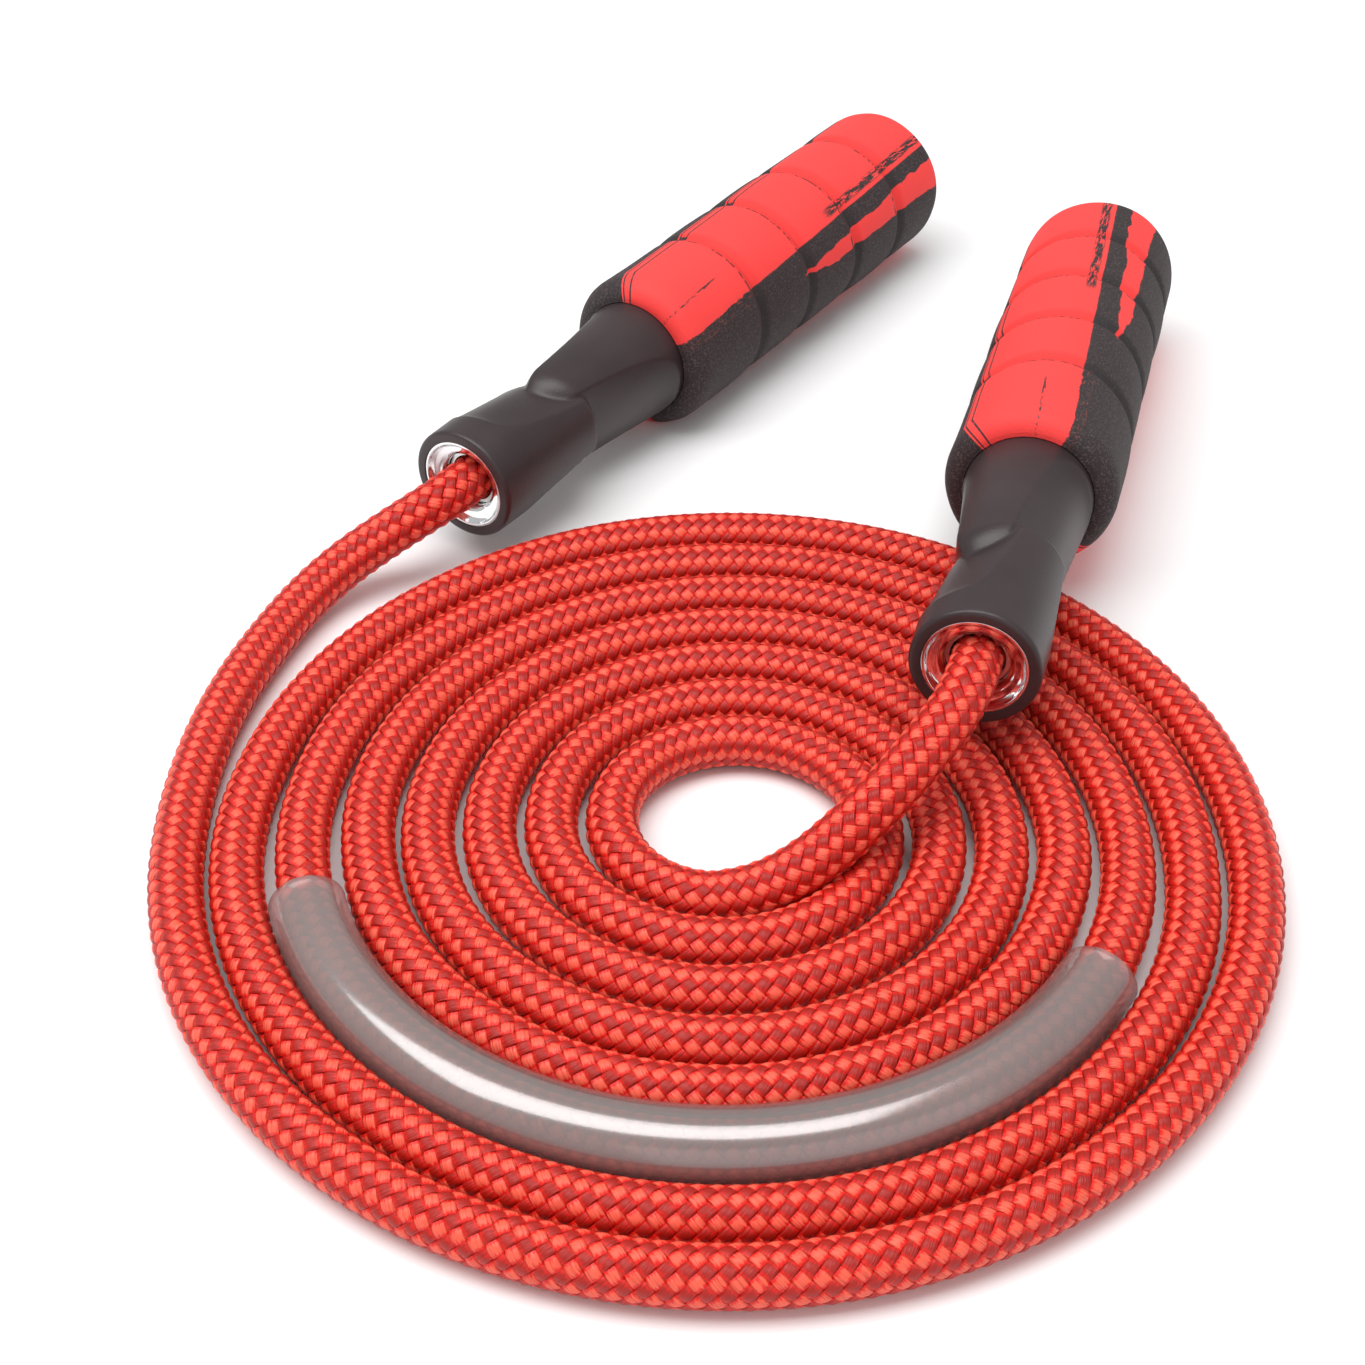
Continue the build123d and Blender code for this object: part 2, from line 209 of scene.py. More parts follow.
class Surface:
    """A material with one Principled shader; keyword values are its uniform sockets."""

    def __init__(self, name, colour, **sockets):
        self.material = bpy.data.materials.new(name)
        self.material.use_nodes = True
        self.tree = self.material.node_tree
        self.shader = self.tree.nodes["Principled BSDF"]
        self.shader.inputs["Base Color"].default_value = (*colour, 1)
        for socket, value in sockets.items():
            self.shader.inputs[socket.replace("_", " ")].default_value = value

    def coordinates(self):
        node = self.tree.nodes.new("ShaderNodeTexCoord")
        return node.outputs["Object"]

    def attribute(self, name):
        node = self.tree.nodes.new("ShaderNodeAttribute")
        node.attribute_name = name
        return node.outputs["Vector"]

    def stretched(self, vector, scale):
        node = self.tree.nodes.new("ShaderNodeMapping")
        node.inputs["Scale"].default_value = scale
        self.tree.links.new(vector, node.inputs["Vector"])
        return node.outputs["Vector"]

    def parts(self, vector):
        node = self.tree.nodes.new("ShaderNodeSeparateXYZ")
        self.tree.links.new(vector, node.inputs[0])
        return [Value(self.tree, socket) for socket in node.outputs]

    def noise(self, vector, scale, detail=2.0, roughness=0.5):
        node = self.tree.nodes.new("ShaderNodeTexNoise")
        node.inputs["Scale"].default_value = scale
        node.inputs["Detail"].default_value = detail
        node.inputs["Roughness"].default_value = roughness
        self.tree.links.new(vector, node.inputs["Vector"])
        return Value(self.tree, node.outputs["Fac"])

    def mix(self, first, second, factor):
        """A colour between two colours; each is three numbers or another mix."""
        node = self.tree.nodes.new("ShaderNodeMix")
        node.data_type = "RGBA"
        self.tree.links.new(factor.socket, node.inputs["Factor"])
        for name, colour in (("A", first), ("B", second)):
            socket = next(s for s in node.inputs if s.name == name and s.type == "RGBA")
            if isinstance(colour, tuple):
                socket.default_value = (*colour, 1)
            else:
                self.tree.links.new(colour, socket)
        return next(s for s in node.outputs if s.type == "RGBA")

    def paint(self, colour):
        self.tree.links.new(colour, self.shader.inputs["Base Color"])

    def rough(self, value):
        self.tree.links.new(value.socket, self.shader.inputs["Roughness"])

    def bump(self, height, distance, strength):
        node = self.tree.nodes.new("ShaderNodeBump")
        node.inputs["Distance"].default_value = distance
        node.inputs["Strength"].default_value = strength
        self.tree.links.new(height.socket, node.inputs["Height"])
        self.tree.links.new(node.outputs["Normal"], self.shader.inputs["Normal"])


def yarn_surface(name, crest_painted_light, flank):
    """Satin yarn with fine fibres: the crest colour where a strand crests is painted light (a
    painted highlight on the bright yarn, painted shade on the deep yarn), the flank colour is where
    it dives, and there is painted shade along the strand's edges.
    """
    surface = Surface(name, crest_painted_light, Roughness=0.38, IOR=1.42)
    place = surface.attribute("strand")
    crosswise, _, over = surface.parts(place)
    fibres = surface.noise(surface.stretched(place, (8.0, 330.0, 0.0)), 1.0, detail=3.0)
    streaks = surface.noise(surface.stretched(place, (12.0, 210.0, 0.0)), 1.0, detail=3.0)
    # Painted light: the crest colour goes where the strand comes over, with a fibrous edge.
    painted_light_mask = (over + (fibres - 0.5) * 2.4).over(0.46, 0.24)
    # Painted shade along both edges of each strand, where it meets its neighbours.
    edge = (crosswise - 0.5).math("ABSOLUTE").over(0.44, 0.07)
    colour = surface.mix(flank, crest_painted_light, painted_light_mask)
    # The darker colour is painted shade at the edges. On the streaks it is the yarn's fibres.
    darker = tuple(part * 0.40 for part in flank)
    surface.paint(surface.mix(colour, darker, edge * 0.55 + streaks.over(0.57, 0.09) * 0.40))
    surface.bump(streaks, 0.00030, 0.7)
    return surface.material


def plastic_surface(name, colour, lighter, roughness, grain=0.00004):
    """Moulded plastic with a fine spark-eroded texture and faint rubbed patches."""
    surface = Surface(name, colour)
    place = surface.coordinates()
    texture = surface.noise(place, 2600.0, detail=2.0)
    patches = surface.noise(place, 60.0, detail=3.0)
    surface.paint(surface.mix(colour, lighter, patches.over(0.5, 0.25) * 0.6 + texture * 0.25))
    surface.rough(patches * 0.12 + (roughness - 0.06))
    surface.bump(texture, grain, 0.5)
    return surface.material


# The grip's pattern repeats every half turn. Turns are in degrees from the red side, and slopes
# are degrees of turn over the length of the grip.
GRIP_LENGTH = HANDLE_LENGTH - NOSE_LENGTH
PATTERN_REPEAT = 180.0
PATTERN_SEAM = -108.0
RED_EDGE_SLOPE = 15.0
RED_EDGE_START = -22.5
BORDER_SLOPE = 14.0
BORDER_START = 50.0
CUT_CORNER_END = 0.06
CUT_CORNER_SLOPE = 150.0
STREAK_TOP_SLOPE = 27.0
STREAK_TOP_START = -35.0
STREAK_TOP_FROM = 0.4
STREAK_BOTTOM = -42.6
STREAK_POINT_FROM = 0.5
STREAK_POINT_SLOPE = 80.0
NEAR_NOSE = 0.24
OUTLINE_END = 0.62
BRACKETED_GROOVES = 2


def foam_surface():
    """Two-colour foam: coral red with a hard edge and dry brush streaks over charcoal."""
    surface = Surface("grip_foam", (0.9, 0.06, 0.05), Roughness=0.72, IOR=1.45)
    own = surface.attribute("own")
    x, y, z = surface.parts(own)
    along = (x - NOSE_LENGTH / MM) * (MM / GRIP_LENGTH)
    turn = y.math("ARCTAN2", z) * (180 / math.pi)
    turn = (turn - PATTERN_SEAM).math("FLOORED_MODULO", PATTERN_REPEAT) + PATTERN_SEAM
    rough = surface.noise(surface.stretched(own, (0.5, 1.0, 1.0)), 0.6, detail=6.0, roughness=0.7)
    rough = (rough - 0.5) * 12.0
    dry = surface.noise(surface.stretched(own, (0.30, 2.2, 2.2)), 1.0, detail=4.0, roughness=0.7)
    near_nose = along.over(NEAR_NOSE, 0.03).inverse()

    # The main red field, from its lower edge up to the outlined border on the far side.
    clean_edge = along * RED_EDGE_SLOPE + RED_EDGE_START
    lower_edge = clean_edge + rough * (near_nose * 0.5 + 0.12)
    cut_corner = (along - CUT_CORNER_END).math("MINIMUM", 0.0) * CUT_CORNER_SLOPE
    border = along * BORDER_SLOPE + BORDER_START + cut_corner
    main = (turn - lower_edge).over(0.0, 0.5) * (turn - border).over(8.5, 0.4).inverse()
    lines = (turn - border).between(-0.9, 0.7, 0.3).either((turn - border).between(5.6, 7.0, 0.3))
    lines = lines * along.over(OUTLINE_END, 0.03).inverse() * dry.over(0.36, 0.02)
    brackets = (turn - border).between(-0.5, 6.0, 0.4) * dry.over(0.40, 0.02)

    # The long streak below it, from the butt to a point at the second groove.
    wobble = surface.noise(surface.stretched(own, (0.14, 0.10, 0.10)), 1.0, detail=2.0) - 0.5
    upper = (along - STREAK_TOP_FROM) * STREAK_TOP_SLOPE + STREAK_TOP_START
    upper = upper + rough * 0.30 + wobble * 9.0
    point = ((along - STREAK_POINT_FROM) * STREAK_POINT_SLOPE).math("MINIMUM", 0.0)
    lower = point * -1.0 + (rough * 0.40 + STREAK_BOTTOM) + wobble * 5.0
    streak = (turn - lower).over(0.0, 0.5) * (turn - upper).over(0.0, 0.5).inverse()

    # Where the brush was nearly dry.
    edge = turn - clean_edge
    brushed = edge.between(3.4, 10.5, 1.2) * along.over(0.56, 0.02) * dry.over(0.465, 0.02)
    mark = (turn - along * 17.0).between(-0.8, 1.4, 0.6) * along.between(0.0, 0.16, 0.02)
    mark = mark * dry.over(0.52, 0.02)
    spatter = edge.between(-9.0, 1.0, 2.0) * near_nose * dry.over(0.60, 0.03)

    # Painted shade in the grooves, and a dotted line along the side of each that is nearer to the
    # nose.
    groove_shade = None
    dots = None
    for index, groove in enumerate(groove_places()):
        centre = groove / MM
        shade_band = x.between(centre - 1.7, centre + 1.9, 1.0)
        dot = x.between(centre - 2.25, centre - 1.70, 0.12)
        groove_shade = shade_band if groove_shade is None else groove_shade.either(shade_band)
        dots = dot if dots is None else dots.either(dot)
        if index < BRACKETED_GROOVES:
            lines = lines.either(brackets * x.between(centre - 2.2, centre + 1.0, 0.2))
    dots = dots * surface.noise(own, 0.9, detail=1.0).over(0.48, 0.03)
    red = main.either(streak) * brushed.either(mark).either(lines).inverse()
    grain = surface.noise(own, 2.3, detail=4.0, roughness=0.65)
    cells = surface.noise(own, 7.0, detail=2.0)
    # The darker coral in the grooves is painted shade. The cells vary the coral's tone at random.
    coral = surface.mix((0.95, 0.056, 0.052), (0.81, 0.036, 0.032), groove_shade * 0.8 + cells * 0.15)
    charcoal = surface.mix((0.027, 0.018, 0.019), (0.086, 0.061, 0.063), grain.over(0.57, 0.07))
    # Painted shade in the grooves on the charcoal too.
    charcoal = surface.mix(charcoal, (0.018, 0.015, 0.016), groove_shade * 0.7)
    charcoal = surface.mix(charcoal, (0.30, 0.055, 0.035), spatter * 0.7)
    colour = surface.mix(charcoal, coral, red)
    surface.paint(surface.mix(colour, (0.07, 0.012, 0.012), dots * 0.95))
    surface.bump(grain * 0.6 + cells * 0.4, 0.00030, 0.6)
    return surface.material


def metal_surface(name, colour, roughness, scratches=0.00001):
    surface = Surface(name, colour, Metallic=1.0)
    place = surface.coordinates()
    marks = surface.noise(place, 900.0, detail=4.0)
    darker = tuple(part * 0.85 for part in colour)
    surface.paint(surface.mix(colour, darker, marks.over(0.55, 0.2) * 0.5))
    surface.rough(marks * 0.1 + (roughness - 0.05))
    surface.bump(marks, scratches, 0.4)
    return surface.material


def sleeve_surface():
    """Clear smoke-grey vinyl, with a faint cloudy variation in its tone, roughness and surface."""
    surface = Surface(
        "clear_vinyl",
        (0.26, 0.235, 0.22),
        Alpha=0.48,
        IOR=1.8,
        Coat_Weight=1.0,
        Coat_Roughness=0.17,
        Coat_IOR=2.5,
    )
    place = surface.coordinates()
    cloud = surface.noise(place, 45.0, detail=3.0)
    surface.paint(surface.mix((0.27, 0.24, 0.225), (0.23, 0.205, 0.195), cloud.over(0.5, 0.3)))
    surface.rough(cloud * 0.06 + 0.14)
    surface.bump(cloud, 0.00005, 0.2)
    return surface.material


# ---------------------------------------------------------------- meshes

def add_object(name, mesh, material):
    piece = bpy.data.objects.new(name, mesh)
    bpy.context.scene.collection.objects.link(piece)
    mesh.materials.append(material)
    return piece


def mesh_from(name, points, quads, caps=()):
    """A smooth-shaded mesh from arrays of points and of quads, and lists of cap polygons."""
    mesh = bpy.data.meshes.new(name)
    quads = np.asarray(quads, dtype=np.int32)
    corners = [quads.reshape(-1), *[np.asarray(cap, dtype=np.int32) for cap in caps]]
    sizes = np.concatenate([np.full(len(quads), 4), [len(cap) for cap in caps]]).astype(np.int32)
    corners = np.concatenate(corners)
    starts = np.concatenate([[0], np.cumsum(sizes)[:-1]]).astype(np.int32)
    mesh.vertices.add(len(points))
    mesh.vertices.foreach_set("co", np.asarray(points, dtype=np.float32).reshape(-1))
    mesh.loops.add(len(corners))
    mesh.loops.foreach_set("vertex_index", corners)
    mesh.polygons.add(len(sizes))
    mesh.polygons.foreach_set("loop_start", starts)
    mesh.polygons.foreach_set("loop_total", sizes)
    mesh.polygons.foreach_set("use_smooth", np.ones(len(sizes), dtype=bool))
    mesh.update(calc_edges=True)
    mesh.validate()
    return mesh


def add_attribute(mesh, name, values):
    layer = mesh.attributes.new(name, "FLOAT_VECTOR", "POINT")
    layer.data.foreach_set("vector", np.asarray(values, dtype=np.float32).reshape(-1))


def tube_quads(rings, around, closed_along=False):
    """Quads between rings of points, each ring closed on itself."""
    last = rings if closed_along else rings - 1
    ring = np.arange(last)[:, None]
    step = np.arange(around)[None, :]
    following = (ring + 1) % rings
    beside = (step + 1) % around
    here = ring * around + step
    return np.stack(
        [here, ring * around + beside, following * around + beside, following * around + step],
        axis=-1,
    ).reshape(-1, 4)


def capped_tube(name, points):
    """A mesh through rings of points, closed by a cap at each end."""
    rings, around = points.shape[:2]
    last = (rings - 1) * around
    caps = [list(range(around))[::-1], list(range(last, last + around))]
    return mesh_from(name, points.reshape(-1, 3), tube_quads(rings, around), caps)


# ---------------------------------------------------------------- rope

def spiral_radius(angle):
    return COIL_START_RADIUS - COIL_PITCH * (angle - COIL_START_ANGLE) / 360


def smooth_step(value, low, high):
    share = np.clip((value - low) / (high - low), 0.0, 1.0)
    return share * share * (3 - 2 * share)


def sleeve_nearness(angle):
    """1 where the rope runs in the sleeve's channel, easing to 0 beyond its ends."""
    start = SLEEVE_START_ANGLE - SLEEVE_SLIDE_ROOM
    end = SLEEVE_END_ANGLE + SLEEVE_SLIDE_ROOM
    rise = smooth_step(angle, start - SLEEVE_EASE, start)
    return rise * (1 - smooth_step(angle, end, end + SLEEVE_EASE))


def coil_points():
    """The turns of the coil; the turns beside the sleeve make a little room for it."""
    step = 360 / COIL_POINTS_PER_TURN
    points = []
    for angle in np.arange(COIL_START_ANGLE + step, COIL_END_ANGLE - step / 2, step):
        radius = spiral_radius(angle)
        radius += SLEEVE_SPREAD * sleeve_nearness(angle + 360)
        radius -= SLEEVE_SPREAD * sleeve_nearness(angle - 360)
        height = ROPE_RADIUS + SLEEVE_WALL * sleeve_nearness(angle)
        turn = math.radians(angle)
        points.append((radius * math.cos(turn), radius * math.sin(turn), height))
    return points


def mouth_of(side):
    joint = JOINTS[f"handle_{side}_spin"]
    return Vector(joint["pos_m"]), Vector(joint["axis"]).normalized()


def rope_line():
    """The rope's centreline as a NURBS spline, and the points read from it."""
    route = []
    for side, lead in (("left", LEFT_LEAD), ("right", RIGHT_LEAD)):
        mouth, axis = mouth_of(side)
        ends = [mouth - axis * LEAD_STUB, mouth + axis * LEAD_STUB]
        whole = [*lead, *[tuple(end) for end in ends]]
        if side == "left":
            route += whole[::-1] + coil_points()
        else:
            route += whole
    curve = bpy.data.curves.new("rope_line", "CURVE")
    curve.dimensions = "3D"
    curve.resolution_u = ROPE_LINE_STEPS
    spline = curve.splines.new("NURBS")
    spline.points.add(len(route) - 1)
    for point, place in zip(spline.points, route):
        point.co = (*place, 1)
    spline.order_u = 3
    spline.use_endpoint_u = True
    holder = bpy.data.objects.new("rope_line", curve)
    bpy.context.scene.collection.objects.link(holder)
    line = bpy.data.meshes.new_from_object(holder)
    points = np.array([vertex.co for vertex in line.vertices])
    bpy.data.objects.remove(holder)
    return points


class Rope:
    """The rope's line by distance along it, with a frame that doesn't twist."""

    def __init__(self, points):
        runs = np.linalg.norm(np.diff(points, axis=0), axis=1)
        keep = np.concatenate([[True], runs > SAME_PLACE])
        self.points = points[keep]
        runs = np.linalg.norm(np.diff(self.points, axis=0), axis=1)
        self.places = np.concatenate([[0.0], np.cumsum(runs)])
        self.length = self.places[-1]
        self.ahead = np.gradient(self.points, self.places, axis=0)
        self.ahead /= np.linalg.norm(self.ahead, axis=1)[:, None]
        side = np.cross(self.ahead[0], (0.0, 0.0, 1.0))
        sides = []
        for direction in self.ahead:
            side = side - direction * np.dot(side, direction)
            side = side / np.linalg.norm(side)
            sides.append(side)
        self.side = np.array(sides)

    def at(self, places):
        """Points, and unit vectors ahead, to the side and up, at distances along the rope."""
        found = []
        for table in (self.points, self.ahead, self.side):
            columns = [np.interp(places, self.places, table[:, axis]) for axis in range(3)]
            found.append(np.stack(columns, axis=-1))
        centre, ahead, side = found
        ahead /= np.linalg.norm(ahead, axis=-1, keepdims=True)
        side -= ahead * np.sum(side * ahead, axis=-1, keepdims=True)
        side /= np.linalg.norm(side, axis=-1, keepdims=True)
        return centre, ahead, side, np.cross(ahead, side)


STRANDS_EACH_WAY = 8
BRAID_PITCH = 2.36 * ROPE_DIAMETER
STRAND_HALF_WIDTH = 0.00120
STRAND_HALF_HEIGHT = 0.00038
STRAND_SECTION = [(-1.0, 0.0), (-0.6, 0.7), (0.0, 1.0), (0.6, 0.7), (1.0, 0.0), (0.0, -0.9)]
STRAND_PHASES = [0.0, 0.25, 0.5, 0.75, 1.0, 1.5]
OVER_RADIUS = ROPE_RADIUS - STRAND_HALF_HEIGHT
UNDER_DEPTH = 0.00088
UNDER_RADIUS = ROPE_RADIUS - UNDER_DEPTH
CORE_RADIUS = 0.385 * ROPE_DIAMETER
CORE_STEP = 0.002
CORE_SIDES = 12
# Each yarn starts at its own place in the fibre pattern, so that no two look alike.
FIBRE_SHIFT = 0.37
FIBRE_SHIFT_RIGHT = 3.1


def make_core(rope, name, material):
    places = np.linspace(0, rope.length, int(rope.length / CORE_STEP))
    centre, _, side, up = rope.at(places)
    turn = np.linspace(0, 2 * np.pi, CORE_SIDES, endpoint=False)
    ring = np.cos(turn)[None, :, None] * side[:, None] + np.sin(turn)[None, :, None] * up[:, None]
    mesh = capped_tube(name, centre[:, None] + CORE_RADIUS * ring)
    return add_object(name, mesh, material)


def make_strand(rope, name, index, direction, material):
    """One carrier's yarn, which goes over one crossing yarn and under the next."""
    crossing = BRAID_PITCH / (2 * STRANDS_EACH_WAY)
    first = 0.0 if direction > 0 else crossing
    phases = np.array(STRAND_PHASES)
    cycles = np.arange(-2, int(rope.length / (2 * crossing)) + 1)
    places = (first + (cycles[:, None] + phases[None, :] / 2) * 2 * crossing).reshape(-1)
    waves = np.tile(np.sin(np.pi * phases), len(cycles))
    inside = (places >= 0) & (places <= rope.length)
    places, waves = places[inside], waves[inside]
    centre, ahead, side, up = rope.at(places)
    start = 2 * np.pi * index / STRANDS_EACH_WAY
    turn = start + direction * 2 * np.pi * (places - crossing / 2) / BRAID_PITCH
    radius = (OVER_RADIUS + UNDER_RADIUS) / 2 + (OVER_RADIUS - UNDER_RADIUS) / 2 * waves
    outward = np.cos(turn)[:, None] * side + np.sin(turn)[:, None] * up
    sideways = -np.sin(turn)[:, None] * side + np.cos(turn)[:, None] * up
    circle_speed = direction * 2 * np.pi * radius / BRAID_PITCH
    flow = ahead + circle_speed[:, None] * sideways
    flow /= np.linalg.norm(flow, axis=1)[:, None]
    across = np.cross(flow, outward)
    section = np.array(STRAND_SECTION)
    points = (
        centre[:, None]
        + radius[:, None, None] * outward[:, None]
        + (STRAND_HALF_WIDTH * section[:, 0])[None, :, None] * across[:, None]
        + (STRAND_HALF_HEIGHT * section[:, 1])[None, :, None] * outward[:, None]
    )
    mesh = capped_tube(name, points)
    around = len(section)
    own_start = FIBRE_SHIFT * index + FIBRE_SHIFT_RIGHT * (direction > 0)
    lengthwise = np.broadcast_to(places[:, None] + own_start, (len(places), around))
    crosswise = np.broadcast_to((section[:, 0] + 1)[None, :] / 2, (len(places), around))
    over = np.broadcast_to(waves[:, None], (len(places), around))
    add_attribute(mesh, "strand", np.stack([crosswise, lengthwise, over], axis=-1))
    return add_object(name, mesh, material)


def finish_rope_piece(piece):
    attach(piece, "rope")


def make_rope(core_material, highlight_yarn, shade_yarn):
    rope = Rope(rope_line())
    core = make_core(rope, "rope_core", core_material)
    strands = []
    for index in range(STRANDS_EACH_WAY):
        number = index + 1
        # Yarns running one way carry the painted highlight, and those running the other way carry
        # the painted shade.
        strands.append(make_strand(rope, f"rope_yarn_right_{number}", index, 1, highlight_yarn))
        strands.append(make_strand(rope, f"rope_yarn_left_{number}", index, -1, shade_yarn))
    for piece in (core, *strands):
        finish_rope_piece(piece)
    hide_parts("rope_coil", "rope_in_sleeve", "rope_lead_left", "rope_lead_right")
    print("rope length in the open:", round(rope.length, 4))
    return rope, core, strands


def make_tail(handle, core_material, highlight_yarn, shade_yarn):
    """The braided end of the rope, clamped behind the bearing."""
    places = np.linspace(LEAD_STUB, TAIL_END, TAIL_POINTS)[:, None]
    tail = Rope(handle.mouth + places * handle.axis)
    core = make_core(tail, f"rope_tail_core_{handle.side}", core_material)
    finish_rope_piece(core)
    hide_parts(f"rope_tail_{handle.side}")
    made = [core]
    # The right-hand yarns carry the painted highlight, and the left-hand yarns carry the painted
    # shade.
    for direction, way, material in ((1, "right", highlight_yarn), (-1, "left", shade_yarn)):
        name = f"rope_tail_yarn_{way}_{handle.side}"
        pieces = [
            make_strand(tail, f"{name}_{index + 1}", index, direction, material)
            for index in range(STRANDS_EACH_WAY)
        ]
        with bpy.context.temp_override(active_object=pieces[0], selected_editable_objects=pieces):
            bpy.ops.object.join()
        pieces[0].name = name
        finish_rope_piece(pieces[0])
        made.append(pieces[0])
    return made


# ---------------------------------------------------------------- handles

class Handle:
    """A handle's own frame: X from the mouth to the butt, Z from the axis to its red side."""

    def __init__(self, side):
        self.side = side
        mouth, axis = mouth_of(side)
        self.mouth = np.array(mouth)
        self.axis = np.array(axis)
        upright = np.array((0.0, 0.0, 1.0)) - self.axis * self.axis[2]
        upright /= np.linalg.norm(upright)
        level = np.cross(upright, self.axis)
        roll = math.radians(HANDLE_ROLL[side])
        self.up = math.cos(roll) * upright + math.sin(roll) * level
        self.across = np.cross(self.up, self.axis)

    def place(self, x, radius, turn):
        """Points by their distance from the mouth, radius, and angle from the red side."""
        outward = np.cos(turn)[..., None] * self.up + np.sin(turn)[..., None] * self.across
        return self.mouth + x[..., None] * self.axis + radius[..., None] * outward

    def own(self, x, radius, turn):
        """The same points in the handle's own frame, in millimetres, for its patterns."""
        return np.stack([x, radius * np.sin(turn), radius * np.cos(turn)], axis=-1) / MM


ROUNDING_POINTS = 7
TURNED_SHARP_EDGE = 38


def outline(corners, step=None, beyond=None):
    """A closed outline of (x, radius, rounding) corners, in millimetres, as points in metres.

    Stretches with both ends beyond a radius are cut into short steps.
    """
    points = []
    for index, (x, radius, rounding) in enumerate(corners):
        next_x, next_radius, next_rounding = corners[(index + 1) % len(corners)]
        corner = np.array((x, radius))
        before = np.array(corners[index - 1][:2])
        after = np.array((next_x, next_radius))
        if rounding:
            start = corner + rounding * (before - corner) / np.linalg.norm(before - corner)
            end = corner + rounding * (after - corner) / np.linalg.norm(after - corner)
            for share in np.linspace(0, 1, ROUNDING_POINTS):
                first = start + share * (corner - start)
                last = corner + share * (end - corner)
                points.append(first + share * (last - first))
        else:
            points.append(corner)
        if beyond is not None and min(radius, next_radius) > beyond:
            here = points[-1]
            reach = after - here
            span = np.linalg.norm(reach) - next_rounding
            count = int(span / step)
            for share in np.arange(1, count) / count:
                points.append(here + reach * share * span / np.linalg.norm(reach))
    return np.array(points) * MM


def turned_piece(handle, name, profile, material, around=96, shape=None):
    """A piece turned about the handle's axis; shape(x, radius, turn) may alter its radii."""
    turn = np.linspace(0, 2 * np.pi, around, endpoint=False)
    x, turn = np.meshgrid(profile[:, 0], turn, indexing="ij")
    radius = np.repeat(profile[:, 1][:, None], around, axis=1)
    if shape is not None:
        radius = shape(x, radius, turn)
    points = handle.place(x, radius, turn).reshape(-1, 3)
    mesh = mesh_from(name, points, tube_quads(len(profile), around, closed_along=True))
    mesh.set_sharp_from_angle(angle=math.radians(TURNED_SHARP_EDGE))
    add_attribute(mesh, "own", handle.own(x, radius, turn).reshape(-1, 3))
    return add_object(name, mesh, material)


# Finger scoops of the nose: a pair of flats cut from the front and another from the rear, which
# cross at its sides. Starts, ends, lengths and leans are shares of the nose's length, depths are
# shares of its radius, and turns and half widths are in degrees.
FRONT_FLAT_TURN = 51.0
FRONT_FLAT_START = 0.12
FRONT_FLAT_LENGTH = 0.45
REAR_FLAT_TURN = -68.0
REAR_FLAT_START = 0.97
REAR_FLAT_LENGTH = 0.55
FLAT_HALF_WIDTH = 66.0
FLAT_EARLY_DEPTH = 0.20
FLAT_LATE_DEPTH = 0.16
FRONT_TONGUE_TURN = -32.0
FRONT_TONGUE_END = 0.56
FRONT_TONGUE_LEAN = 0.04
FRONT_TONGUE_DROP = 0.08
REAR_TONGUE_TURN = 30.0
REAR_TONGUE_END = 0.335
REAR_TONGUE_LEAN = 0.08
REAR_TONGUE_DROP = 0.14
SCOOP_LIP = 0.0007
SCOOPS_START = 0.03
SCOOPS_END = 0.985

# The least radius that the scoops leave, behind the rope clamp's bore and more of it over the bore.
CLAMP_BORE_END = 0.0244
CLAMP_BORE_EASE = 0.002
LEAST_RADIUS = 0.0073
MORE_OVER_BORE = 0.0019


def smooth_least(first, second, lip):
    share = np.clip(0.5 + 0.5 * (second - first) / lip, 0, 1)
    return second * (1 - share) + first * share - lip * share * (1 - share)


def smooth_most(first, second, lip):
    return -smooth_least(-first, -second, lip)


def tongue(progress):
    """1 up to progress 0, then down a quarter of an ellipse to 0 at progress 1."""
    return np.sqrt(1 - np.clip(progress, 0, 1) ** 2)


def flats(turn, centre, progress):
    """How much a pair of opposite flats leaves of a radius; they widen and deepen together."""
    progress = np.clip(progress, 0, 1)
    depth = FLAT_EARLY_DEPTH * np.sqrt(progress) + FLAT_LATE_DEPTH * progress**2
    half = np.maximum(FLAT_HALF_WIDTH * progress**0.2, 0.5)
    away = np.abs((np.degrees(turn) - centre + 90) % 180 - 90)
    share = np.clip(away / half, 0, 1)
    return 1 - depth * (1 - share**3)


